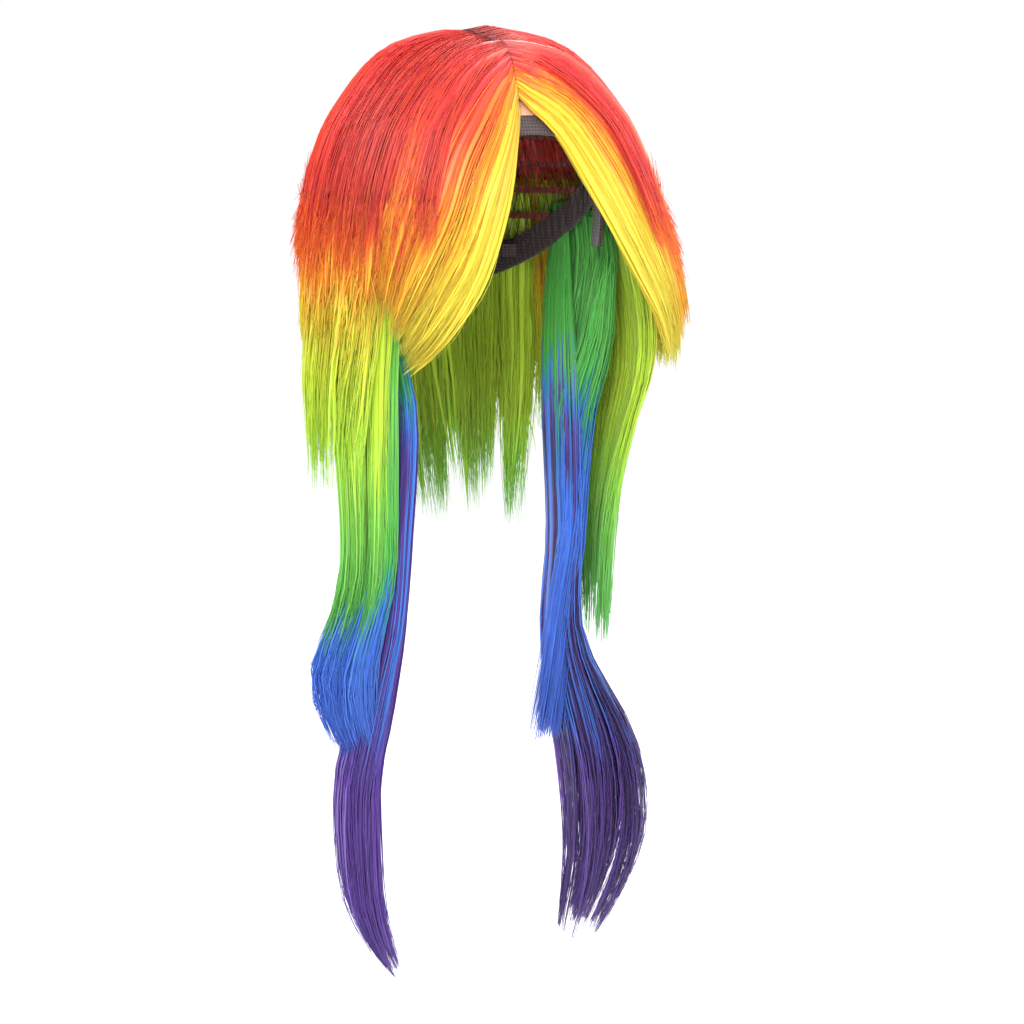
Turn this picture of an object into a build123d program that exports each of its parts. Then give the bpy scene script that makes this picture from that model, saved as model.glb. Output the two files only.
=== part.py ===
from build123d import *
import os
from math import atan2, cos, degrees, hypot, radians, sin

# A layered long costume wig, modelled as it hangs when worn. Millimetres, +Z up, face towards -Y,
# so the wearer's right is -X. The origin is the centre of the head where the cap is widest.

# ---- driving dimensions ----------------------------------------------------------------------
HEAD_A, HEAD_B, HEAD_C = 78.0, 98.0, 110.0      # inside half-width, half-depth and height of the cap
NET_T = 1.2                                     # net cap, measured at the temples
TRIM_T = 1.6                                    # bands and weft tracks sewn on the net
TRIM_LIFT = 0.1                                 # gap between the net and what is sewn on it
GAP = 0.4                                       # clearance between neighbouring pieces
RIM_FRONT = (-90.0, 50.0)                       # y, z of the rim at the forehead
RIM_BACK = (85.0, -55.0)                        # y, z of the rim at the nape
FRONT_BAND_H, NAPE_BAND_H = 9.0, 14.0
TRACK_H = 4.0
TRACK_Z = (-24.0, -6.0, 12.0, 30.0, 48.0, 66.0, 84.0)
PARTING_X, PARTING_HALF_W = -4.0, 9.0           # the patch is a little to the wearer's right
PARTING_LOW, PARTING_BACK = 60.0, -4.0          # lowest height and rear end of the patch under it
EAR_X, EAR_Y, EAR_LOW = 30.0, (-46.0, -20.0), -24.0
ROOM = 400.0                                    # larger than the wig, for cutting blocks

STRAP_OUT, STRAP_IN = (55.0, 56.0), (10.0, 84.0)    # x, y of the adjuster strap's two ends
STRAP_Z, STRAP_H, STRAP_T = -30.0, 9.0, 1.0
HOOK_L, HOOK_WALL, HOOK_FIT = 8.0, 1.2, 0.4
HOOK_START = 12.0                               # from the strap's middle towards its outer end
TONGUE_L, TONGUE_W, TONGUE_T, TONGUE_FOOT, FOOT_L = 7.0, 5.0, 1.0, 1.6, 2.0

BACK_TO_SIDE = 1.08                             # depth of the hair over its width
# half-width and height down the outside of the hair, from the crown to below the ears
OUTLINE_RIGHT = ((0, 128), (60, 111), (96, 68), (111, 33), (118, 5), (121, -30), (121, -75), (120, -130))
OUTLINE_LEFT = ((0, 128), (58, 111), (96, 68), (113, 33), (125, 0), (134, -33), (141, -75), (142, -130))
OUTER_LAYER = 0.92                              # inside of the outer layer, as a share of the outline
INNER_LAYER = 0.916                             # outside of the layer under it
FRINGE_INSIDE = 0.90
PART_GAP = 1.0                                  # between the two sides at the parting
FRINGE_Y = -66.0                                # the fringe lies in front of this plane
BACK_Y = 62.0                                   # the back layers lie behind this plane
FALL_Z = -38.0                                  # below this the hair hangs free of the head

# The fringe as seen from the front: face edge from the parting down, then the tips and the temple.
FACE_EDGE = {
    1: ((1.5, 72), (15, 52), (32, 21), (50, -11), (68, -42), (86, -70)),
    -1: ((-1.5, 72), (-19.5, 33), (-29.5, -5), (-42, -43), (-57.5, -72), (-72, -92)),
}
FRINGE_TIPS = {
    1: ((98, -96), (110, -98), (117, -60), (104, 20), (95, 106), (0.5, 106)),
    -1: ((-84, -104), (-96, -96), (-101, -45), (-90, 20), (-95, 106), (-0.5, 106)),
}

# Height, half-width and half-depth of the free hair's outside on each side, and at the back (0).
FALL_OUTSIDE = {
    1: ((-40, 136, 132), (-75, 142, 134), (-110, 141, 128), (-140, 133, 116), (-180, 124, 100),
        (-220, 118, 90), (-275, 114, 84), (-310, 113, 84)),
    -1: ((-40, 121, 131), (-75, 121, 130), (-110, 122, 124), (-140, 120, 112), (-180, 118, 96),
         (-220, 117, 88), (-275, 119, 84), (-310, 122, 84), (-345, 124, 84)),
    0: ((-40, 121, 134), (-80, 121, 132), (-120, 119, 126), (-190, 108, 112), (-215, 104, 106)),
}
# Each layer of the free hair: depth under the outside, thickness, number of heights it reaches
# down through, its angles from straight ahead at the top and at the tips, thickness of the tips.
SIDE_LAYERS = {
    1: {"yellow": (0.0, 9.0, 3, (61, 126), (70, 98), 6.0), "lime": (10.5, 9.0, 5, (63, 124), (72, 98), 7.0),
        "green": (21.0, 8.5, 7, (65, 122), (64, 106), 7.0), "blue": (31.0, 8.0, 8, (67, 120), (60, 92), 5.0)},
    -1: {"yellow": (0.0, 8.0, 2, (60, 126), (62, 114), 6.0), "lime": (9.5, 9.0, 5, (61, 124), (66, 102), 7.0),
         "green": (20.0, 8.5, 7, (63, 122), (64, 104), 7.0), "blue": (30.0, 8.0, 9, (65, 120), (64, 100), 5.0)},
    0: {"yellow": (0.0, 9.0, 3, (132, 228), (142, 218), 6.0), "lime": (10.5, 9.0, 4, (133, 227), (148, 212), 7.0),
        "green": (21.0, 8.0, 5, (134, 226), (152, 208), 6.0)},
}
# How far a layer's tips flick outwards, by side, layer and height.
FLICK = {(-1, "blue", -310): 24.0, (-1, "blue", -345): 22.0}
# The longest locks: height, centre x and y, half-thickness, half-depth.
PURPLE_LOCK = {
    1: ((-62, 71, 4, 5, 26), (-128, 62, 0, 8, 24), (-220, 64, -2, 8, 22), (-275, 58, -4, 8, 24),
        (-310, 58, -5, 9, 26), (-345, 80, -6, 22, 40), (-380, 88, -8, 25, 44), (-425, 92, -8, 24, 42),
        (-460, 88, -6, 20, 36), (-490, 80, -5, 13, 26), (-518, 73, -4, 6, 12)),
    -1: ((-62, -68, 4, 5, 25), (-128, -58, 0, 8, 22), (-220, -62, -2, 8, 20), (-275, -68, -4, 8, 21),
         (-310, -76, -5, 10, 22), (-345, -84, -6, 12, 24), (-375, -93, -7, 13, 27), (-402, -94, -7, 14, 28),
         (-430, -93, -7, 14, 28), (-465, -90, -9, 13, 25), (-498, -79, -14, 9, 17), (-522, -65, -18, 5, 9)),
}


# ---- shared shapes ---------------------------------------------------------------------------
def block(low, high):
    size = [h - l for l, h in zip(low, high)]
    return Pos(*low) * Box(*size, align=(Align.MIN, Align.MIN, Align.MIN))


# The cap's pieces are cut while the head is still a ball, then stretched to the head's shape.
HEAD_STRETCH = (1.0, HEAD_B / HEAD_A, HEAD_C / HEAD_A)


def head_point(point):
    return tuple(v / s for v, s in zip(point, HEAD_STRETCH))


def head_block(low, high):
    return block(head_point(low), head_point(high))


def head_shell(inside, outside):
    return Sphere(HEAD_A + outside) - Sphere(HEAD_A + inside)


def fit_to_head(shape):
    return scale(shape, by=HEAD_STRETCH)


def above_rim(lift):
    """Everything above the slanting rim plane raised by lift."""
    _, y0, z0 = head_point((0, *RIM_FRONT))
    _, y1, z1 = head_point((0, *RIM_BACK))
    run, fall = y1 - y0, z1 - z0
    slope = hypot(run, fall)
    slab = Pos(0, 0, lift) * Box(ROOM, ROOM, ROOM, align=(Align.CENTER, Align.CENTER, Align.MIN))
    return Pos(0, (y0 + y1) / 2, (z0 + z1) / 2) * Rot(X=degrees(atan2(fall / slope, run / slope))) * slab


# The hair on the head is cut while it is still round, then stretched from front to back.
def hair_block(low, high):
    return block((low[0], low[1] / BACK_TO_SIDE, low[2]), (high[0], high[1] / BACK_TO_SIDE, high[2]))


def hair_body(outline, share):
    """The round body inside the hair's outline, shrunk towards the head's centre by a share."""
    points = [(r * share, z * share) for r, z in outline]
    side = Spline(*points, tangents=[(1, 0), (0, -1)])
    foot = Line(points[-1], (0, points[-1][1]))
    core = Line((0, points[-1][1]), points[0])
    return revolve(Plane.XZ * make_face([side, foot, core]), Axis.Z)


def fit_to_hair(shape):
    return scale(shape, by=(1, BACK_TO_SIDE, 1))


def outline_of(side):
    return OUTLINE_LEFT if side > 0 else OUTLINE_RIGHT


def arc_section(z, a, b, start, end, thick):
    """A level strip bent round an ellipse, between two angles from straight ahead."""
    steps = 4
    angles = [radians(start + (end - start) * i / steps) for i in range(steps + 1)]
    outer = [(a * sin(t), -b * cos(t), z) for t in angles]
    inner = [((a - thick) * sin(t), -(b - thick) * cos(t), z) for t in reversed(angles)]
    edges = [Spline(*outer), Line(outer[-1], inner[0]), Spline(*inner), Line(inner[-1], outer[0])]
    return make_face(edges)


# ---- cap -------------------------------------------------------------------------------------
def net_cap():
    return fit_to_head(head_shell(0, NET_T) & above_rim(0))


def trim_shell():
    return head_shell(NET_T + TRIM_LIFT, NET_T + TRIM_T)


def rim_band(height, low_y, high_y):
    """A band sewn round part of the rim."""
    strip = trim_shell() & above_rim(0) & head_block((-ROOM, low_y, -ROOM), (ROOM, high_y, ROOM))
    return fit_to_head(strip - above_rim(height))


def ear_tab(side):
    """The flap in front of the ear, below the rim."""
    x0, x1 = sorted((side * EAR_X, side * ROOM))
    tab = head_shell(0, NET_T + TRIM_T) & head_block((x0, EAR_Y[0], EAR_LOW), (x1, EAR_Y[1], ROOM))
    return fit_to_head(tab - above_rim(-GAP))


def parting_block(half_width, back, low):
    """Everything in front of a plane within half_width of the parting."""
    return head_block((PARTING_X - half_width, -ROOM, low), (PARTING_X + half_width, back, ROOM))


def parting_patch():
    patch = trim_shell() & parting_block(PARTING_HALF_W, PARTING_BACK, PARTING_LOW)
    return fit_to_head(patch & above_rim(FRONT_BAND_H + GAP))


def weft_track(z):
    """One sewn row of hair roots round the back and sides of the cap."""
    row = trim_shell() & head_block((-ROOM, -ROOM, z - TRACK_H / 2), (ROOM, ROOM, z + TRACK_H / 2))
    row = row & above_rim(NAPE_BAND_H + GAP)
    return fit_to_head(row - parting_block(PARTING_HALF_W + GAP, PARTING_BACK + GAP, -ROOM))


# ---- size adjusters --------------------------------------------------------------------------
def strap_place(side):
    """The frame of one strap: local x runs along it, from its inner end to its outer end."""
    dx, dy = STRAP_OUT[0] - STRAP_IN[0], STRAP_OUT[1] - STRAP_IN[1]
    mid_x, mid_y = (STRAP_OUT[0] + STRAP_IN[0]) / 2, (STRAP_OUT[1] + STRAP_IN[1]) / 2
    return Pos(mid_x * side, mid_y, STRAP_Z) * Rot(Z=degrees(atan2(dy, dx * side)))


def adjuster_strap(side):
    length = hypot(STRAP_OUT[0] - STRAP_IN[0], STRAP_OUT[1] - STRAP_IN[1])
    return strap_place(side) * Box(length, STRAP_T, STRAP_H)


def adjuster_hook(side):
    """A flat ring round the strap with a small hooked tongue on its head side."""
    slot_t, slot_h = STRAP_T + 2 * HOOK_FIT, STRAP_H + 2 * HOOK_FIT
    ring = Box(HOOK_L, slot_t + 2 * HOOK_WALL, slot_h + 2 * HOOK_WALL) - Box(ROOM, slot_t, slot_h)
    inward = -side
    face_y = slot_t / 2 + HOOK_WALL
    foot = Pos(0, inward * (face_y + TONGUE_FOOT / 2), 0) * Box(FOOT_L, TONGUE_FOOT, TONGUE_W)
    tongue_y = face_y + TONGUE_FOOT + TONGUE_T / 2
    tongue = Pos((FOOT_L - TONGUE_L) / 2, inward * tongue_y, 0) * Box(TONGUE_L, TONGUE_T, TONGUE_W)
    return strap_place(side) * Pos(HOOK_START, 0, 0) * (ring + foot + tongue)


# ---- hair on the head ------------------------------------------------------------------------
def side_block(side):
    x0, x1 = sorted((side * PART_GAP / 2, side * ROOM))
    return hair_block((x0, FRINGE_Y + GAP, FALL_Z), (x1, BACK_Y - GAP, ROOM))


def back_block():
    return hair_block((-ROOM, BACK_Y, FALL_Z), (ROOM, ROOM, ROOM))


def outer_hair(side, cut):
    """The outermost layer, which the crown's top rows hold."""
    body = hair_body(outline_of(side), 1.0) & cut
    return fit_to_hair(body - hair_body(outline_of(side), OUTER_LAYER))


def inner_hair(side, cut):
    """The layer between the cap and the outermost layer."""
    body = fit_to_hair(hair_body(outline_of(side), INNER_LAYER) & cut)
    inside = HEAD_A + NET_T + TRIM_T + GAP
    dome = Sphere(inside) & block((-ROOM, -ROOM, 0), (ROOM, ROOM, ROOM))
    return body - fit_to_head(dome + extrude(Circle(inside), amount=-ROOM))


def fringe(side):
    """One half of the curtain fringe, swept from the parting to the temple."""
    face = Plane.XZ * make_face(Polyline(*FACE_EDGE[side], *FRINGE_TIPS[side], close=True))
    cut = extrude(face, amount=ROOM) & hair_block((-ROOM, -ROOM, -ROOM), (ROOM, FRINGE_Y, ROOM))
    body = hair_body(outline_of(side), 1.0) & cut
    return fit_to_hair(body - hair_body(outline_of(side), FRINGE_INSIDE))


# ---- hair that hangs below the head ----------------------------------------------------------
def free_layer(side, layer):
    """A bent panel through level strips, narrowing from its top to its tips."""
    depth, thick, count, top, tips, tip_thick = SIDE_LAYERS[side][layer]
    turn = -1 if side < 0 else 1
    strips = []
    for i, (z, a, b) in enumerate(FALL_OUTSIDE[side][:count]):
        share = i / (count - 1)
        start, end = (turn * (t + (s - t) * share) for t, s in zip(top, tips))
        inward = depth - FLICK.get((side, layer, z), 0.0)
        strips.append(arc_section(z, a - inward, b - inward, start, end, thick + (tip_thick - thick) * share))
    return loft(strips, ruled=True)


def purple_lock(side):
    rings = [Plane(origin=(x, y, z)) * Ellipse(rx, ry) for z, x, y, rx, ry in PURPLE_LOCK[side]]
    return loft(rings, ruled=True)


def cap_parts():
    parts = {
        "net_cap": net_cap(),
        "front_band": rim_band(FRONT_BAND_H, -ROOM, -GAP),
        "nape_band": rim_band(NAPE_BAND_H, GAP, ROOM),
        "parting_patch": parting_patch(),
    }
    for number, z in enumerate(TRACK_Z, start=1):
        parts[f"weft_track_{number}"] = weft_track(z)
    return parts


def side_parts(name, side):
    parts = {
        f"ear_tab_{name}": ear_tab(side),
        f"adjuster_strap_{name}": adjuster_strap(side),
        f"adjuster_hook_{name}": adjuster_hook(side),
        f"red_layer_{name}": outer_hair(side, side_block(side)),
        f"orange_layer_{name}": inner_hair(side, side_block(side)),
        f"fringe_{name}": fringe(side),
        f"purple_lock_{name}": purple_lock(side),
    }
    for layer in SIDE_LAYERS[side]:
        parts[f"{layer}_layer_{name}"] = free_layer(side, layer)
    return parts


def back_parts():
    parts = {
        "red_layer_back": outer_hair(-1, back_block()),
        "orange_layer_back": inner_hair(-1, back_block()),
    }
    for layer in SIDE_LAYERS[0]:
        parts[f"{layer}_layer_back"] = free_layer(0, layer)
    return parts


os.makedirs("parts", exist_ok=True)
parts = cap_parts() | side_parts("right", -1) | side_parts("left", 1) | back_parts()
for node, shape in parts.items():
    export_step(shape, f"parts/{node}.step")
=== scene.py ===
from math import cos, pi, radians, sin

import bpy
import numpy as np
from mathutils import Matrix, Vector


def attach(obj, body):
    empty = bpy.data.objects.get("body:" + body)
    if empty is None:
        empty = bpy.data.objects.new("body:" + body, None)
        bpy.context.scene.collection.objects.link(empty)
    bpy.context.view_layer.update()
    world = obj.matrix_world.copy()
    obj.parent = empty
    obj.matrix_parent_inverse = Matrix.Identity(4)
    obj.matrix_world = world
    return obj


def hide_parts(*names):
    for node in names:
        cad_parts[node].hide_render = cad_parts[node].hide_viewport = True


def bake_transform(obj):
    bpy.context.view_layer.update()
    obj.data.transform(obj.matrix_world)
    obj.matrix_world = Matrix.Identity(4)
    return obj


# A long layered costume wig in rainbow colours. Lengths are in millimetres until a mesh is made.
# The wearer faces -Y, so the wearer's right is -X, and the origin is the middle of the head.

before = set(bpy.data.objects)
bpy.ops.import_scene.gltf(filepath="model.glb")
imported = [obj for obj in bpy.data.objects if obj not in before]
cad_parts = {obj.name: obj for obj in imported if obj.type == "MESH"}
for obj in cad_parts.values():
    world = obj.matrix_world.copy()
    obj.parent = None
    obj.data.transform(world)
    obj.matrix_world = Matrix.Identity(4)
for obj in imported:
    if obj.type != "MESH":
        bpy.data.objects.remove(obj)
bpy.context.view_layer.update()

# ---- the wig's shape ---------------------------------------------------------------------------
MM = 0.001
HEAD = np.array((78.0, 98.0, 110.0))            # inside half-sizes of the cap
NET_MID = 0.6                                   # from there to the middle of the net
BACK_TO_SIDE = 1.08                             # depth of the hair over its width
FRINGE_TO_SIDE = 0.91                           # the fringe lies closer to the face
PARTING_X, PARTING_GAP = -9.0, 1.4              # the parting is a little to the wearer's right
PARTING_DIP, PARTING_HALF_W = 4.0, 7.0          # the dip in the hair along the parting
PARTING_END, PARTING_FADE = 40.0, 60.0          # y where the dip ends, and how long it takes to fade out
SIDES = {"right": -1, "left": 1}
# height and half-width down the outside of the hair on each side
OUTLINE = {
    -1: ((124, 0), (108, 60), (67, 96), (33, 111), (5, 118), (-30, 121), (-75, 121), (-130, 120)),
    1: ((124, 0), (108, 58), (67, 96), (33, 113), (0, 125), (-33, 134), (-75, 141), (-130, 142)),
}
# height, half-width and half-depth of the free hair's outside; 0 is the back
FALL_OUTSIDE = {
    1: ((-40, 136, 132), (-75, 142, 134), (-110, 141, 128), (-140, 133, 116), (-180, 124, 100),
        (-220, 118, 90), (-275, 114, 84), (-310, 113, 84), (-370, 113, 84)),
    -1: ((-40, 121, 131), (-75, 121, 130), (-110, 122, 124), (-140, 120, 112), (-180, 118, 96),
         (-220, 117, 88), (-275, 119, 84), (-310, 122, 84), (-375, 124, 84)),
    0: ((-40, 121, 134), (-80, 121, 130), (-120, 117, 118), (-190, 106, 98), (-230, 100, 88)),
}
# depth under the outside at the top and at the tips, thickness, lowest tips, raggedness of the tips,
# angles from straight ahead at the top and at the tips
SIDE_LAYERS = {
    1: {
        "orange": (9, 3, 8, -66, 9, (60, 134), (62, 130)),
        "yellow": (12, 1, 9, -114, 12, (61, 131), (68, 130)),
        "lime": (17, 22, 9, -188, 32, (63, 131), (70, 129)),
        "green": (26, 18, 9, -304, 34, (63, 126), (62, 112)),
        "blue": (31, 60, 9, -366, 16, (78, 120), (40, 86)),
    },
    -1: {
        "orange": (9, 3, 8, -62, 9, (58, 134), (60, 130)),
        "yellow": (12, 1, 8, -90, 10, (60, 131), (62, 131)),
        "lime": (13, 0, 12, -184, 38, (61, 131), (66, 129)),
        "green": (20, 15, 10, -300, 30, (63, 126), (64, 110)),
        "blue": (29, 26, 13, -374, 14, (65, 124), (62, 104)),
    },
    0: {
        "orange": (9, 3, 8, -62, 9, (126, 234), (130, 230)),
        "yellow": (12, 1, 9, -122, 14, (128, 232), (127, 233)),
        "lime": (15, 8, 10, -182, 22, (128, 232), (128, 232)),
        "green": (22, 18, 10, -226, 26, (130, 230), (136, 224)),
    },
}
# depth under the outside, by height, of layers whose tips flare out or turn in
FLICKED = {
    (1, "blue"): ((10, 31), (-40, 40), (-62, 54), (-125, 70), (-220, 46), (-300, 51), (-366, 61)),
    (-1, "blue"): ((0, 29), (-243, 27), (-270, 14), (-296, 3), (-318, 1), (-341, 9), (-375, 28)),
    (-1, "green"): ((0, 20), (-240, 20), (-264, 14), (-290, 3), (-305, 1)),
}
# the longest locks: height, centre x and y, half-thickness, half-depth
PURPLE_LOCK = {
    1: ((6, 79, 38, 2.5, 12), (-30, 77, 32, 3, 14), (-60, 70, 20, 5, 18), (-128, 62, 0, 8, 24),
        (-220, 64, -2, 8, 22), (-275, 60, -4, 9, 25), (-310, 66, -5, 14, 30), (-345, 79, -6, 22, 38),
        (-380, 88, -8, 25, 42), (-425, 91, -8, 24, 41), (-460, 87, -6, 20, 35), (-490, 77, -5, 14, 28),
        (-522, 67, -4, 8, 15)),
    -1: ((6, -79, 38, 2.5, 12), (-30, -77, 32, 3, 14), (-60, -69, 20, 5, 18), (-128, -58, 0, 8, 22),
         (-220, -62, -2, 8, 20), (-275, -68, -4, 8, 21), (-310, -76, -5, 10, 22), (-345, -85, -6, 12, 25),
         (-375, -93, -7, 13, 27), (-402, -94, -7, 14, 28), (-430, -93, -7, 14, 28), (-465, -90, -9, 13, 25),
         (-498, -79, -14, 9, 17), (-522, -65, -18, 5, 9)),
}
# the fringe seen from the front, as x and height: its edge along the face, and its outer edge
FACE_EDGE = {
    1: ((-8, 75), (15, 52), (32, 21), (50, -11), (68, -42), (86, -70), (99, -98)),
    -1: ((-10, 75), (-19.5, 33), (-29.5, -5), (-42, -43), (-57.5, -72), (-72, -92), (-84, -104)),
}
OUTER_EDGE = {
    1: ((-8.5, 110), (40, 101), (74, 70), (95, 33), (106, 0), (114, -34), (119, -72)),
    -1: ((-9.5, 110), (-40, 101), (-72, 70), (-88, 33), (-96, 5), (-100, -25), (-101, -52)),
}
# height at which the hair reaches each step of the dye scale, from dark roots to purple
DYE_HEIGHTS = ((140, 0.9), (10, 1.0), (-30, 2.0), (-60, 3.0), (-80, 3.5), (-112, 3.8), (-150, 4.0),
               (-200, 4.5), (-290, 4.9), (-330, 5.6))
BLUE_HEIGHTS = {1: ((-110, 4.9), (-160, 6.0), (-366, 6.3)),
                -1: ((-60, 4.5), (-244, 4.9), (-266, 6.0), (-374, 6.3))}
DYE_STEPS = 8.0                                 # the end of the dye scale
DYE_JITTER = 15.0                               # spread between strands, as height
ROOT_DARK, ROOT_SHARE = 0.7, 0.07               # darkening of the roots, and the share of a strand it covers
PURPLE_TONE_AND_SHADE = {1: (0.45, 1.0), -1: (0, 0.35)}  # how far past plain purple each lock goes: a little random deepening, and on the wearer's left lock, turned from the key light, painted shade
DYE_RANGE = {"red": (0.2, 1.75), "orange": (1.2, 2.5), "yellow": (2.2, 3.5), "lime": (3.0, 4.5),
             "green": (3.9, 5.05), "blue": (4.6, 6.6)}

CROWN_END = 5.0                                 # height where the hair leaves the dome of the head
DOME_LOW = -5.0                                 # lowest height that counts as the dome
DOME_R = 120.0                                  # about the radius of the dome
SHARED_HEIGHTS = (80, -20)                      # heights between which the free hair keeps the head's outline
CROWN_TIPS, CROWN_FLICK = -20.0, 3.5            # height of the red tips, and how far they stand out
LOCK_TOP = -2.0                                 # height of the longest locks' roots

# thin strands, thick strands
CROWN_STRANDS, FRINGE_STRANDS, LONG_STRANDS = (1900, 260), (1600, 180), (1200, 110)
CROWN_CLUMPS, FRINGE_CLUMPS, LONG_CLUMPS = 46, 26, 12
# thin strands, thick strands, height of the roots, clumps, from the outermost layer in
LAYER_STRANDS = {"orange": (1400, 200, 44, 34), "yellow": (1300, 160, 18, 26), "lime": (1700, 190, 12, 24),
                 "green": (1800, 180, 4, 20), "blue": (1500, 130, -8, 16)}
# angles from straight ahead that the red layer covers on the right, on the left and at the back
CROWN_SPAN = {-1: (38, 136), 1: (38, 136), 0: (132, 228)}
POINTS = 14                                     # along each strand
DOME_POINTS, DROP_POINTS, EDGE_POINTS = 26, 14, 40
FIBRE_R = 0.34                                  # radius of a thin strand
LOCK_R = (2.3, 0.5)                             # half-width and half-thickness of a thick strand
FLYAWAY_R, STRAYS = 0.22, 60                    # loose single hairs: radius, and how many in each piece
rng = np.random.default_rng(7)


# ---- lines and surfaces ------------------------------------------------------------------------
def smooth_line(points, count=300):
    """A smooth line through the points, as rows."""
    p = np.array(points, float)
    p = np.vstack([2 * p[0] - p[1], p, 2 * p[-1] - p[-2]])
    t = np.linspace(0, len(p) - 3, count)
    i = np.minimum(t.astype(int), len(p) - 4)
    f = (t - i)[:, None]
    a, b, c, d = p[i], p[i + 1], p[i + 2], p[i + 3]
    return 0.5 * (2 * b + (c - a) * f + (2 * a - 5 * b + 4 * c - d) * f**2 + (3 * b - a - 3 * c + d) * f**3)


def outline_side(side):
    """The side whose outline the hair follows. The back follows the wearer's right."""
    return -1 if side == 0 else side


def sideways(side):
    """Which way x grows with the angle from straight ahead. At the back the angles run on from the left."""
    return 1 if side == 0 else side


def half_width(side, z):
    """Half-width of the hair's outside at a height on the head."""
    line = smooth_line(OUTLINE[side])[::-1]
    return np.interp(z, line[:, 0], line[:, 1])


def dome_height(side, radius):
    """Height of the hair over the head at a distance from its middle."""
    line = smooth_line(OUTLINE[side])
    top = line[line[:, 0] > DOME_LOW]
    return np.interp(radius, top[:, 1], top[:, 0])


def outside(side, z):
    """Half-width and half-depth of the side or back hair at a height."""
    high, low = SHARED_HEIGHTS
    upper = [(h, w, w * BACK_TO_SIDE) for h, w in OUTLINE[outline_side(side)] if high > h > low]
    line = smooth_line(upper + list(FALL_OUTSIDE[side]))[::-1]
    return np.interp(z, line[:, 0], line[:, 1]), np.interp(z, line[:, 0], line[:, 2])


def even_steps(paths, count=POINTS):
    """Each path cut into the same number of equal steps."""
    steps = np.linalg.norm(np.diff(paths, axis=1), axis=2)
    along = np.concatenate([np.zeros((len(paths), 1)), np.cumsum(steps, axis=1)], axis=1)
    out = np.empty((len(paths), count, 3))
    for i, path in enumerate(paths):
        want = np.linspace(0, along[i, -1], count)
        for k in range(3):
            out[i, :, k] = np.interp(want, along[i], path[:, k])
    return out


def gather(place, clumps, t, hold):
    """Strands draw towards the nearest clump as they near their tips."""
    nearest = np.abs(place[:, None] - clumps[None, :]).argmin(axis=1)
    target = clumps[nearest]
    return place[:, None] + (target - place)[:, None] * hold * t**2, nearest


def wander(count, t, size):
    """A slow sideways wave along each strand."""
    phase = rng.uniform(0, 2 * pi, (count, 1))
    rate = rng.uniform(0.5, 1.6, (count, 1))
    return size * rng.normal(0, 1, (count, 1)) * np.sin(2 * pi * rate * t + phase) * t


# ---- meshes made of strands --------------------------------------------------------------------
def strand_arrays(paths, width, thick, sides, taper):
    """Corners and faces of closed tubes along the paths."""
    count, points = paths.shape[:2]
    tangent = np.gradient(paths, axis=1)
    tangent /= np.linalg.norm(tangent, axis=2, keepdims=True) + 1e-9
    out = paths * np.array((1, 1, 0.6)) * np.where(paths[:, :, 2:] > 0, 1, np.array((1, 1, 0)))
    across = np.cross(tangent, out)
    across /= np.linalg.norm(across, axis=2, keepdims=True) + 1e-9
    normal = np.cross(across, tangent)
    t = np.linspace(0, 1, points)
    grow = np.clip(t / 0.06, 0.25, 1) * (1 - np.clip((t - taper) / (1 - taper), 0, 1) ** 1.6) + 0.04
    angle = 2 * pi * np.arange(sides) / sides
    w = (width[:, None] * grow)[:, :, None, None] * np.cos(angle)[None, None, :, None]
    h = (thick[:, None] * (0.3 + 0.7 * grow))[:, :, None, None] * np.sin(angle)[None, None, :, None]
    corners = paths[:, :, None, :] + w * across[:, :, None, :] + h * normal[:, :, None, :]
    index = np.arange(count * points * sides).reshape(count, points, sides)
    turned = np.roll(index, -1, axis=2)
    quads = np.stack([index[:, :-1], index[:, 1:], turned[:, 1:], turned[:, :-1]], axis=-1).reshape(-1, 4)
    spread = (width[:, None] * np.cos(angle)[None, :])[:, None, :] * np.ones((1, points, 1))
    return corners, quads, spread


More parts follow.
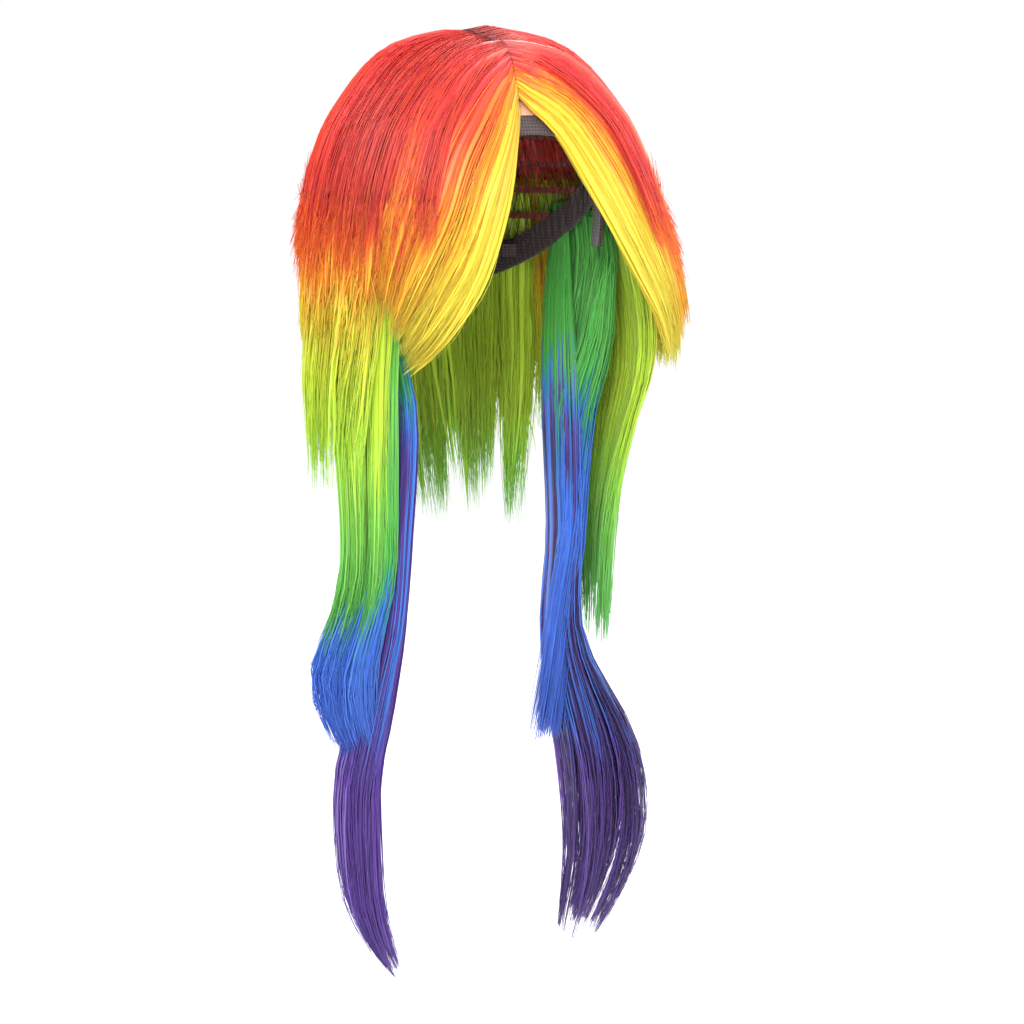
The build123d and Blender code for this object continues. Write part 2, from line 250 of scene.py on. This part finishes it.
def hair_object(name, groups):
    """One mesh from groups of (paths, half-widths, half-thicknesses, tube sides, taper, dye, tone)."""
    all_corners, all_quads, dye, tone, fibre = [], [], [], [], []
    start = 0
    for paths, width, thick, sides, taper, strand_dye, strand_tone in groups:
        corners, quads, spread = strand_arrays(paths, width, thick, sides, taper)
        count, points = paths.shape[:2]
        shape = (count, points, sides)
        steps = np.linalg.norm(np.diff(paths, axis=1), axis=2)
        along = np.concatenate([np.zeros((count, 1)), np.cumsum(steps, axis=1)], axis=1)
        shift = rng.uniform(0, 500, (count, 1, 1))
        fibre.append(np.stack([spread + shift, np.broadcast_to(along[:, :, None], shape),
                               np.broadcast_to(shift, shape)], axis=-1).reshape(-1, 3))
        dye.append(np.broadcast_to(strand_dye[:, :, None], shape).reshape(-1))
        tone.append(np.broadcast_to(strand_tone[:, None, None], shape).reshape(-1))
        all_corners.append(corners.reshape(-1, 3))
        all_quads.append(quads + start)
        start += len(all_corners[-1])
    corners, quads = np.concatenate(all_corners) * MM, np.concatenate(all_quads)
    mesh = bpy.data.meshes.new(name)
    mesh.vertices.add(len(corners))
    mesh.vertices.foreach_set("co", corners.ravel())
    mesh.loops.add(quads.size)
    mesh.loops.foreach_set("vertex_index", quads.ravel().astype(np.int32))
    mesh.polygons.add(len(quads))
    mesh.polygons.foreach_set("loop_start", np.arange(0, quads.size, 4, dtype=np.int32))
    mesh.polygons.foreach_set("use_smooth", np.ones(len(quads), bool))
    mesh.update(calc_edges=True)
    for label, kind, values in (("dye", "FLOAT", np.concatenate(dye) / DYE_STEPS),
                                ("tone", "FLOAT", np.concatenate(tone)),
                                ("fibre", "FLOAT_VECTOR", np.concatenate(fibre))):
        attribute = mesh.attributes.new(label, kind, "POINT")
        attribute.data.foreach_set("vector" if kind == "FLOAT_VECTOR" else "value",
                                   values.ravel().astype(np.float32))
    obj = bpy.data.objects.new(name, mesh)
    bpy.context.scene.collection.objects.link(obj)
    return obj


def few(count):
    return count


def fibres(paths, dye, radius=FIBRE_R):
    """Thin round strands along the paths, as a group for hair_object."""
    count = len(paths)
    size = radius * rng.uniform(0.75, 1.3, count)
    return paths, size, size, 3, 0.6, dye, rng.uniform(0, 1, count)


def locks(paths, dye):
    """Thick flat strands along the paths, as a group for hair_object."""
    count = len(paths)
    grow = rng.uniform(0.6, 1.35, count)
    return paths, LOCK_R[0] * grow, LOCK_R[1] * grow, 6, 0.25, dye, rng.uniform(0.2, 0.8, count)


def flyaways(paths, dye):
    """Very thin loose strands along the paths, as a group for hair_object."""
    return fibres(paths, dye, FLYAWAY_R)


def dye_at(paths, layer, heights=DYE_HEIGHTS):
    """Dye along each strand, from its height with a little spread between strands."""
    table = np.array(heights)[::-1]
    shift = rng.normal(0, DYE_JITTER, (len(paths), 1))
    low, high = DYE_RANGE[layer]
    return np.clip(np.interp(paths[:, :, 2] + shift, table[:, 0], table[:, 1]), low, high)


# ---- hair on the crown -------------------------------------------------------------------------
def crown_paths(side, angles, tips, depth):
    """Strands combed from the parting over the head and down to their tips."""
    count = len(angles)
    f = np.linspace(0, 1, DOME_POINTS)[None, :]
    clumps = np.sort(rng.uniform(angles.min(), angles.max(), CROWN_CLUMPS))
    t_all = np.linspace(0, 1, DOME_POINTS + DROP_POINTS)[None, :]
    phi, _ = gather(angles, clumps, t_all, 0.55)
    phi = np.radians(phi + wander(count, t_all, 1.0))
    facing = np.abs(angles)
    root_y = np.interp(facing, (40, 70, 100, 135, 180), (-64, -38, 0, 42, 56)) / BACK_TO_SIDE
    root_y = (root_y + rng.normal(0, 4, count))[:, None]
    turn = np.where(angles > 180, -1, 1)[:, None] if side == 0 else np.full((count, 1), side)
    rim = half_width(outline_side(side), CROWN_END)
    lift = 1 - depth[:, None] / DOME_R
    root_x = PARTING_X + turn * PARTING_GAP
    dome_phi, drop_phi = phi[:, :DOME_POINTS], phi[:, DOME_POINTS:]
    px = root_x + (rim * np.sin(dome_phi) * sideways(side) - root_x) * f**1.1
    py = root_y + (-rim * np.cos(dome_phi) - root_y) * f
    fade = np.clip((PARTING_END - py) / PARTING_FADE, 0, 1)
    dip = PARTING_DIP * np.exp(-(((px - PARTING_X) / PARTING_HALF_W) ** 2)) * fade
    z = dome_height(outline_side(side), np.hypot(px, py)) - dip
    dome = np.stack([px * lift, py * BACK_TO_SIDE * lift, z * lift], axis=-1)
    g = np.linspace(0, 1, DROP_POINTS + 1)[None, 1:]
    drop_z = CROWN_END + (tips[:, None] - CROWN_END) * g
    flick = CROWN_FLICK * g**3 * rng.uniform(0, 1.4, (count, 1))
    wide = half_width(outline_side(side), drop_z) - depth[:, None] + flick
    drop_x, drop_y = wide * np.sin(drop_phi) * sideways(side), -wide * BACK_TO_SIDE * np.cos(drop_phi)
    drop = np.stack([drop_x, drop_y, drop_z], axis=-1)
    return even_steps(np.concatenate([dome, drop], axis=1))


def crown_hair(name, side):
    """The red layer of one side or of the back."""
    groups = []
    for strands, make in zip(CROWN_STRANDS, (fibres, locks)):
        count = few(strands)
        angles = rng.uniform(*CROWN_SPAN[side], count)
        teeth = 7 * np.sin(np.radians(angles) * 19) + 6 * np.sin(np.radians(angles) * 47 + 1)
        tips = CROWN_TIPS + teeth + rng.normal(0, 9, count)
        early = rng.uniform(0, 1, count) < 0.3
        tips = np.where(early, rng.uniform(-12, 40, count), tips)
        depth = rng.uniform(0.5, 7, count) if make is fibres else rng.uniform(3, 8, count)
        paths = crown_paths(side, angles, tips, depth)
        along = np.linspace(0, 1, POINTS)[None, :]
        dye = dye_at(paths, "red") - ROOT_DARK * np.exp(-along / ROOT_SHARE)
        streak = rng.uniform(0, 1, (count, 1)) < 0.08
        dye = np.where(streak & (paths[:, :, 2] < 40), dye + 0.35, dye)
        groups.append(make(paths, dye))
    return hair_object(name, groups)


# ---- hair that hangs at the sides and back -----------------------------------------------------
def fall_paths(side, layer, count, stray):
    """Strands of one layer, hanging under the hair's outside and drawn together in clumps."""
    root_z, clump_count = LAYER_STRANDS[layer][2:]
    depth_top, depth_tips, thick, low, ragged, top_span, tip_span = SIDE_LAYERS[side][layer]
    place = rng.uniform(0, 1, count)
    t = np.linspace(0, 1, 26)[None, :]
    clumps = np.sort(rng.uniform(0, 1, clump_count))
    p, nearest = gather(place, clumps, t, 0.6)
    p = p + wander(count, t, 0.025 * stray)
    tips = low + np.abs(rng.normal(0, ragged, clump_count))[nearest] + np.abs(rng.normal(0, ragged, count))
    early = rng.uniform(0, 1, count) < 0.35
    tips = np.where(early, tips + rng.uniform(0, 3.0 * ragged, count), tips)
    root = root_z + rng.uniform(-8, 8, count)
    tips = np.minimum(tips, root - 20)
    z = root[:, None] + (tips - root)[:, None] * t
    share = np.clip((-40 - z) / (-40 - low), 0, 1)
    start = top_span[0] + (tip_span[0] - top_span[0]) * share
    end = top_span[1] + (tip_span[1] - top_span[1]) * share
    phi = np.radians(start + (end - start) * p)
    ease = np.clip((root_z - z) / (root_z - low), 0, 1) ** 0.8
    depth = depth_top + (depth_tips - depth_top) * ease + thick * rng.uniform(0, 1, (count, 1))
    depth = depth + wander(count, t, 0.9 * stray)
    if (side, layer) in FLICKED:
        heights = np.array(FLICKED[side, layer])[::-1]
        flick = np.interp(z, heights[:, 0], heights[:, 1]) - depth_top
        depth = depth_top + flick * rng.uniform(0.5, 1.05, (count, 1)) + thick * rng.uniform(0, 1, (count, 1))
    a, b = outside(side, z)
    x, y = sideways(side) * (a - depth) * np.sin(phi), -(b - depth) * np.cos(phi)
    return even_steps(np.stack([x, y, z], axis=-1))


def fall_hair(name, side, layer):
    """One layer of hanging hair, on one side or at the back."""
    groups = []
    thin, thick = LAYER_STRANDS[layer][:2]
    heights = BLUE_HEIGHTS[side] if layer == "blue" else DYE_HEIGHTS
    for strands, make, stray in ((thin, fibres, 1), (thick, locks, 1), (STRAYS, flyaways, 3)):
        paths = fall_paths(side, layer, few(strands), stray)
        groups.append(make(paths, dye_at(paths, layer, heights)))
    return hair_object(name, groups)


# ---- the longest locks -------------------------------------------------------------------------
def long_paths(side, count):
    """Strands of one long lock, filling an oval at each height."""
    table = smooth_line(PURPLE_LOCK[side])[::-1]
    t = np.linspace(0, 1, 40)[None, :]
    angle, reach = rng.uniform(0, 2 * pi, count), np.sqrt(rng.uniform(0, 1, count))
    px, py = reach * np.cos(angle), reach * np.sin(angle)
    clumps = rng.uniform(-0.9, 0.9, (LONG_CLUMPS, 2))
    nearest = np.hypot(px[:, None] - clumps[:, 0], py[:, None] - clumps[:, 1]).argmin(axis=1)
    hold = 0.7 * t**3
    px = px[:, None] + (clumps[nearest, 0] - px)[:, None] * hold + wander(count, t, 0.12)
    py = py[:, None] + (clumps[nearest, 1] - py)[:, None] * hold + wander(count, t, 0.12)
    lowest = table[0, 0]
    tips = lowest + 6 + np.abs(rng.normal(0, 16, LONG_CLUMPS))[nearest] + rng.uniform(0, 16, count)
    early = rng.uniform(0, 1, count) < 0.25
    tips = np.where(early, tips + rng.uniform(10, 90, count), tips)
    root = LOCK_TOP + rng.uniform(-6, 6, count)
    z = root[:, None] + (tips - root)[:, None] * t
    cx, cy, rx, ry = (np.interp(z, table[:, 0], table[:, k]) for k in (1, 2, 3, 4))
    return even_steps(np.stack([cx + rx * px, cy + ry * py, z], axis=-1), 24)


def long_hair(name, side):
    """One of the two longest locks: green at the root, then blue, then purple."""
    groups = []
    for strands, make in zip(LONG_STRANDS, (fibres, locks)):
        count = few(strands)
        paths = long_paths(side, count)
        # painted shade: the wearer's left lock, on the side away from the key light, is made a much darker
        # purple than the right
        purple = 7.0 + rng.uniform(*PURPLE_TONE_AND_SHADE[side], (count, 1))
        z = paths[:, :, 2] + rng.normal(0, 14, (count, 1))
        bluish = np.interp(z, (-372, -340, -60), (7.0, 6.0, 6.2))
        low = np.where(rng.uniform(0, 1, (count, 1)) < 0.35, bluish, purple)
        rooted = np.interp(z, (-150, -100), (0, 1))
        groups.append(make(paths, low + (5.0 - low) * rooted))
    return hair_object(name, groups)


# ---- the fringe --------------------------------------------------------------------------------
def fringe_paths(side, count, stray):
    """Strands between the two edges of one half of the fringe, and each one's place across it."""
    inner, outer = smooth_line(FACE_EDGE[side], EDGE_POINTS), smooth_line(OUTER_EDGE[side], EDGE_POINTS)
    place = rng.uniform(0, 1, count) ** 1.15 - 0.05 * rng.uniform(0, 1, count) ** 6
    reach = 0.84 + 0.16 * rng.uniform(0, 1, count)
    early = rng.uniform(0, 1, count) < 0.3
    reach = np.where(early, rng.uniform(0.6, 0.9, count), reach)
    f = np.linspace(0, 1, 30)[None, :]
    clumps = np.sort(rng.uniform(0, 1, FRINGE_CLUMPS))
    q, nearest = gather(place, clumps, f, 0.5)
    q = q + wander(count, f, 0.03 * stray)
    reach = reach * (0.94 + 0.08 * rng.uniform(0, 1, FRINGE_CLUMPS)[nearest])
    along = f * reach[:, None] * (EDGE_POINTS - 1)
    steps = np.arange(EDGE_POINTS)
    x, z = (np.interp(along, steps, inner[:, k]) * (1 - q) + np.interp(along, steps, outer[:, k]) * q
            for k in (0, 1))
    depth = rng.uniform(0, 9, count)[:, None] * np.clip(f * 5, 0.2, 1)
    ratio = FRINGE_TO_SIDE + (BACK_TO_SIDE - FRINGE_TO_SIDE) * q
    y = -ratio * np.sqrt(np.maximum(half_width(side, z) ** 2 - x**2, 100)) + depth
    return even_steps(np.stack([x, y, z], axis=-1), 18), place


def fringe_hair(name, side):
    """One half of the fringe: yellow along the face, red at its outer edge, paler towards its tips."""
    groups = []
    thin, thick = FRINGE_STRANDS
    for strands, make, stray in ((thin, fibres, 1), (thick, locks, 0.7), (STRAYS, flyaways, 3)):
        count = few(strands)
        paths, place = fringe_paths(side, count, stray)
        f = np.linspace(0, 1, paths.shape[1])[None, :]
        off = place[:, None] + rng.normal(0, 0.11, (count, 1))
        dye = np.interp(off, (0, 0.2, 0.38, 0.6, 1.0), (3.1, 2.9, 2.1, 1.2, 1.0))
        along = f + rng.normal(0, 0.06, (count, 1))
        dye = dye + np.interp(along, (0, 0.05, 0.35, 0.6, 1), (-0.7, -0.1, 0, 0.5, 1.6))
        groups.append(make(paths, np.clip(dye, 0.3, 3.3)))
    return hair_object(name, groups)


# ---- materials ---------------------------------------------------------------------------------
def colour(code):
    """Linear colour from a hexadecimal one."""
    values = [int(code[i:i + 2], 16) / 255 for i in (0, 2, 4)]
    return tuple(v / 12.92 if v <= 0.04045 else ((v + 0.055) / 1.055) ** 2.4 for v in values) + (1.0,)


class Nodes:
    """A material's node tree, with a short way to add and join nodes."""

    def __init__(self, name):
        self.material = bpy.data.materials.new(name)
        self.material.use_nodes = True
        self.tree = self.material.node_tree
        self.shader = self.tree.nodes["Principled BSDF"]

    def add(self, kind, values=(), **settings):
        node = self.tree.nodes.new(kind)
        for key, value in settings.items():
            setattr(node, key, value)
        for key, value in dict(values).items():
            node.inputs[key].default_value = value
        return node

    def join(self, output, socket):
        self.tree.links.new(output, socket)

    def constants(self, **values):
        for key, value in values.items():
            self.shader.inputs[key.replace("_", " ")].default_value = value

    def ramp(self, factor, stops):
        node = self.add("ShaderNodeValToRGB")
        elements = node.color_ramp.elements
        while len(elements) < len(stops):
            elements.new(0.5)
        for element, (place, value) in zip(elements, sorted(stops)):
            element.position = place
            element.color = value
        self.join(factor, node.inputs["Fac"])
        return node.outputs["Color"]

    def span(self, value, low, high):
        node = self.add("ShaderNodeMapRange", {"To Min": low, "To Max": high})
        self.join(value, node.inputs["Value"])
        return node.outputs["Result"]


# place on the dye scale, colour; the near-black purple at the end is mostly reached by the painted shade on
# the wearer's left lock
DYES = ((0.0, "6d0d12"), (0.9, "e02a22"), (1.2, "f4402c"), (1.6, "fb6a20"), (2.1, "ff9414"), (2.6, "fdb41e"),
        (3.0, "f2cc2a"), (3.4, "ecdc38"), (3.8, "d4ee38"), (4.2, "b2ea40"), (4.7, "74d058"), (5.1, "48bc50"),
        (5.5, "2f9cae"), (6.0, "4484ec"), (6.5, "4a60d0"), (7.0, "6a44ac"), (8.0, "2a174c"))


def hair_material(name, roughness):
    """Dyed synthetic fibre: colour from the dye on each strand, streaks and gloss from fine noise."""
    n = Nodes(name)
    dye = n.add("ShaderNodeAttribute", attribute_name="dye")
    tone = n.add("ShaderNodeAttribute", attribute_name="tone")
    fibre = n.add("ShaderNodeAttribute", attribute_name="fibre")
    stretch = n.add("ShaderNodeMapping", {"Scale": (2.6, 0.035, 0.4)})
    n.join(fibre.outputs["Vector"], stretch.inputs["Vector"])
    streaks = n.add("ShaderNodeTexNoise", {"Scale": 1.0, "Detail": 3.0, "Roughness": 0.6})
    n.join(stretch.outputs["Vector"], streaks.inputs["Vector"])
    base = n.ramp(dye.outputs["Fac"], [(s / DYE_STEPS, colour(c)) for s, c in DYES])
    shade = n.add("ShaderNodeHueSaturation", {"Saturation": 1.0})
    n.join(base, shade.inputs["Color"])
    both = n.add("ShaderNodeMath", operation="MULTIPLY")
    n.join(n.span(tone.outputs["Fac"], 0.81, 1.08), both.inputs[0])
    n.join(n.span(streaks.outputs["Fac"], 0.8, 1.12), both.inputs[1])
    n.join(both.outputs["Value"], shade.inputs["Value"])
    n.join(n.span(tone.outputs["Fac"], 0.492, 0.508), shade.inputs["Hue"])
    n.join(shade.outputs["Color"], n.shader.inputs["Base Color"])
    n.join(n.span(streaks.outputs["Fac"], roughness - 0.12, roughness + 0.14), n.shader.inputs["Roughness"])
    bump = n.add("ShaderNodeBump", {"Strength": 0.35, "Distance": 0.0004})
    n.join(streaks.outputs["Fac"], bump.inputs["Height"])
    n.join(bump.outputs["Normal"], n.shader.inputs["Normal"])
    n.constants(IOR=1.5, Coat_Weight=0.12, Coat_Roughness=0.3, Sheen_Weight=0.08, Sheen_Roughness=0.4)
    return n.material


def woven_material(name, dark, light, scale, depth):
    """Woven or knitted thread: crossed ribs, each thread a little different."""
    n = Nodes(name)
    place = n.add("ShaderNodeTexCoord")
    waves = []
    for direction in ("X", "Z"):
        ribs = {"Scale": scale, "Distortion": 0.6, "Detail": 1.0, "Detail Scale": 2.0}
        wave = n.add("ShaderNodeTexWave", ribs, bands_direction=direction)
        n.join(place.outputs["Object"], wave.inputs["Vector"])
        waves.append(wave.outputs["Fac"])
    weave = n.add("ShaderNodeMath", operation="MAXIMUM")
    n.join(waves[0], weave.inputs[0])
    n.join(waves[1], weave.inputs[1])
    fuzz = n.add("ShaderNodeTexNoise", {"Scale": scale * 3, "Detail": 4.0})
    n.join(place.outputs["Object"], fuzz.inputs["Vector"])
    mix = n.add("ShaderNodeMath", operation="MULTIPLY")
    n.join(weave.outputs["Value"], mix.inputs[0])
    n.join(n.span(fuzz.outputs["Fac"], 0.6, 1.2), mix.inputs[1])
    thread = n.ramp(mix.outputs["Value"], [(0.1, colour(dark)), (0.9, colour(light))])
    n.join(thread, n.shader.inputs["Base Color"])
    n.join(n.span(fuzz.outputs["Fac"], 0.65, 0.92), n.shader.inputs["Roughness"])
    bump = n.add("ShaderNodeBump", {"Strength": depth, "Distance": 0.0006})
    n.join(mix.outputs["Value"], bump.inputs["Height"])
    n.join(bump.outputs["Normal"], n.shader.inputs["Normal"])
    n.constants(Sheen_Weight=0.3, Sheen_Roughness=0.5)
    return n.material


def skin_material(name):
    """The patch under the parting: matt flesh-coloured film with tiny knots where the hair is tied."""
    n = Nodes(name)
    place = n.add("ShaderNodeTexCoord")
    knots = n.add("ShaderNodeTexVoronoi", {"Scale": 700.0})
    n.join(place.outputs["Object"], knots.inputs["Vector"])
    mottle = n.add("ShaderNodeTexNoise", {"Scale": 60.0, "Detail": 5.0})
    n.join(place.outputs["Object"], mottle.inputs["Vector"])
    film = n.ramp(mottle.outputs["Fac"], [(0.3, colour("d8a184")), (0.7, colour("ecc0a2"))])
    dots = n.ramp(knots.outputs["Distance"], [(0.12, colour("6a2a22")), (0.24, (1, 1, 1, 1))])
    both = n.add("ShaderNodeMix", {"Factor": 1.0}, data_type="RGBA", blend_type="MULTIPLY")
    n.join(film, both.inputs["A"])
    n.join(dots, both.inputs["B"])
    n.join(both.outputs["Result"], n.shader.inputs["Base Color"])
    n.join(n.span(mottle.outputs["Fac"], 0.45, 0.7), n.shader.inputs["Roughness"])
    bump = n.add("ShaderNodeBump", {"Strength": 0.3, "Distance": 0.0003})
    n.join(knots.outputs["Distance"], bump.inputs["Height"])
    n.join(bump.outputs["Normal"], n.shader.inputs["Normal"])
    n.constants(Subsurface_Weight=0.1, Subsurface_Scale=0.003)
    return n.material


def plastic_material(name):
    """Moulded black nylon."""
    n = Nodes(name)
    place = n.add("ShaderNodeTexCoord")
    grain = n.add("ShaderNodeTexNoise", {"Scale": 900.0, "Detail": 3.0})
    n.join(place.outputs["Object"], grain.inputs["Vector"])
    n.join(n.ramp(grain.outputs["Fac"], [(0.3, colour("141416")), (0.7, colour("26262a"))]),
           n.shader.inputs["Base Color"])
    n.join(n.span(grain.outputs["Fac"], 0.25, 0.45), n.shader.inputs["Roughness"])
    bump = n.add("ShaderNodeBump", {"Strength": 0.1, "Distance": 0.0002})
    n.join(grain.outputs["Fac"], bump.inputs["Height"])
    n.join(bump.outputs["Normal"], n.shader.inputs["Normal"])
    n.constants(IOR=1.53)
    return n.material


def floor_material(name):
    """Nearly white, faintly uneven, with a little light of its own."""
    n = Nodes(name)
    place = n.add("ShaderNodeTexCoord")
    grain = n.add("ShaderNodeTexNoise", {"Scale": 3.0, "Detail": 2.0})
    n.join(place.outputs["Object"], grain.inputs["Vector"])
    n.join(n.ramp(grain.outputs["Fac"], [(0.2, colour("f8f8f9")), (0.8, colour("fcfcfd"))]),
           n.shader.inputs["Base Color"])
    n.constants(Roughness=0.9, Emission_Color=(1, 1, 1, 1), Emission_Strength=0.05)
    return n.material


HAIR = {layer: hair_material(f"hair_{layer}", roughness)
        for layer, roughness in (("red", 0.36), ("orange", 0.38), ("yellow", 0.38), ("lime", 0.38),
                                 ("green", 0.38), ("blue", 0.4), ("purple", 0.36))}
NET = woven_material("cap_net", "1c1416", "3a2a2c", 900.0, 0.4)
ELASTIC = woven_material("band_elastic", "221a1c", "564648", 150.0, 0.8)
WEFT = woven_material("weft_thread", "5a1414", "a8322a", 220.0, 0.8)
SKIN = skin_material("parting_skin")
PLASTIC = plastic_material("hook_plastic")


def finish_piece(obj, material):
    """Give a piece its one material."""
    obj.data.materials.clear()
    obj.data.materials.append(material)


def bend_with_fall(obj, name):
    """Bake the piece's placement into its mesh."""
    if name == "back":
        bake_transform(obj)
    else:
        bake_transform(obj)


for name, side in (("right", -1), ("left", 1), ("back", 0)):
    red = crown_hair(f"hair_red_{name}", side)
    finish_piece(red, HAIR["red"])
    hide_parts(f"red_layer_{name}")
    bend_with_fall(red, name)
    for layer in SIDE_LAYERS[side]:
        piece = fall_hair(f"hair_{layer}_{name}", side, layer)
        finish_piece(piece, HAIR[layer])
        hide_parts(f"{layer}_layer_{name}")
        bend_with_fall(piece, name)

for name, side in SIDES.items():
    curtain = fringe_hair(f"hair_fringe_{name}", side)
    finish_piece(curtain, HAIR["yellow"])
    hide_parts(f"fringe_{name}")
    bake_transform(curtain)
    tail = long_hair(f"hair_purple_{name}", side)
    finish_piece(tail, HAIR["purple"])
    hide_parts(f"purple_lock_{name}")
    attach(tail, f"fall_{name}")

# ---- the cap -----------------------------------------------------------------------------------
RIM_FRONT, RIM_BACK = (-90.0, 50.0), (85.0, -55.0)   # y and height of the cap's rim
NET_THREADS, NET_TURN, NET_R = 84, 0.55, 0.28


def net_paths():
    """Two families of threads, crossing as diamonds, from the crown down to the cap's slanting rim."""
    paths = []
    for turn in (-1, 1):
        for i in range(NET_THREADS):
            reach = np.linspace(0.06, 1.0, 60)
            lon = 2 * pi * i / NET_THREADS + turn * NET_TURN * reach
            down = np.linspace(0.06, 2.2, 400)
            ray_x, ray_y = np.sin(down) * sin(lon[-1]), -np.sin(down) * cos(lon[-1])
            line = np.stack([ray_x, ray_y, np.cos(down)], axis=-1)
            line *= HEAD + NET_MID
            rim = np.interp(line[:, 1], (RIM_FRONT[0], RIM_BACK[0]), (RIM_FRONT[1], RIM_BACK[1]))
            foot = down[np.argmax(line[:, 2] < rim)]
            angle = reach * foot
            path_x, path_y = np.sin(angle) * np.sin(lon), -np.sin(angle) * np.cos(lon)
            paths.append(np.stack([path_x, path_y, np.cos(angle)], axis=-1) * (HEAD + NET_MID))
    return even_steps(np.array(paths), 44)


def make_net():
    """The cap's net, which rides on the cap and takes the place of its solid."""
    paths = net_paths()
    count = len(paths)
    size = np.full(count, NET_R)
    blank = np.zeros((count, paths.shape[1]))
    net = hair_object("net", [(paths, size, size, 4, 0.999, blank, np.zeros(count))])
    finish_piece(net, NET)
    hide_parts("net_cap")
    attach(net, "cap")


make_net()
for node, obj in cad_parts.items():
    if node == "net_cap":
        finish_piece(obj, NET)
    elif node.startswith(("front_band", "nape_band", "ear_tab", "adjuster_strap")):
        finish_piece(obj, ELASTIC)
    elif node.startswith("weft_track"):
        finish_piece(obj, WEFT)
    elif node == "parting_patch":
        finish_piece(obj, SKIN)
    elif node.startswith("adjuster_hook"):
        finish_piece(obj, PLASTIC)
    else:
        layer = node.split("_")[0].replace("fringe", "yellow")
        finish_piece(obj, HAIR[layer])


# ---- floor, lights, camera ---------------------------------------------------------------------
FLOOR_Z, FLOOR_R = -0.6, 40.0


def make_floor():
    """A wide round floor."""
    steps = 64
    turns = [2 * pi * j / steps for j in range(steps)]
    verts = [(FLOOR_R * cos(turn), FLOOR_R * sin(turn), FLOOR_Z) for turn in turns]
    mesh = bpy.data.meshes.new("floor")
    mesh.from_pydata(verts, [], [tuple(range(steps))])
    obj = bpy.data.objects.new("floor", mesh)
    bpy.context.scene.collection.objects.link(obj)
    obj.data.materials.append(floor_material("floor"))


def area_light(name, place, target, size, power):
    """A round soft light aimed at a point."""
    light = bpy.data.lights.new(name, "AREA")
    light.shape = "DISK"
    light.size = size
    light.energy = power
    obj = bpy.data.objects.new(name, light)
    obj.location = place
    obj.rotation_euler = (Vector(target) - Vector(place)).to_track_quat("-Z", "Y").to_euler()
    bpy.context.scene.collection.objects.link(obj)


make_floor()
area_light("key", (-1.2, -1.9, 1.1), (0, 0, -0.1), 0.9, 34)
area_light("fill", (1.7, -1.5, 0.5), (0, 0, -0.2), 1.4, 12)
area_light("top", (0.2, 0.2, 1.7), (0, 0, 0), 1.2, 20)
area_light("back", (0.6, 1.9, 0.8), (0, 0, -0.1), 1.2, 18)

world = bpy.data.worlds.new("world")
bpy.context.scene.world = world
world.use_nodes = True
world.node_tree.nodes["Background"].inputs["Color"].default_value = (1.0, 1.0, 1.0, 1.0)
world.node_tree.nodes["Background"].inputs["Strength"].default_value = 1.0

VIEW_AZ, VIEW_EL, VIEW_FAR = -25.0, 8.0, 1.8
VIEW_CENTRE = (0.0209, -0.0098, -0.204)
VIEW_WIDTH = 0.696                              # what the view spans at the wig

camera_data = bpy.data.cameras.new("camera")
camera_data.sensor_width = 36.0
camera_data.lens = camera_data.sensor_width * VIEW_FAR / VIEW_WIDTH
camera = bpy.data.objects.new("camera", camera_data)
az, el = radians(VIEW_AZ), radians(VIEW_EL)
away = Vector((sin(az) * cos(el), -cos(az) * cos(el), sin(el)))
camera.location = Vector(VIEW_CENTRE) + away * VIEW_FAR
camera.rotation_euler = (-away).to_track_quat("-Z", "Y").to_euler()
bpy.context.scene.collection.objects.link(camera)
bpy.context.scene.camera = camera
bpy.context.scene.view_settings.view_transform = "Standard"
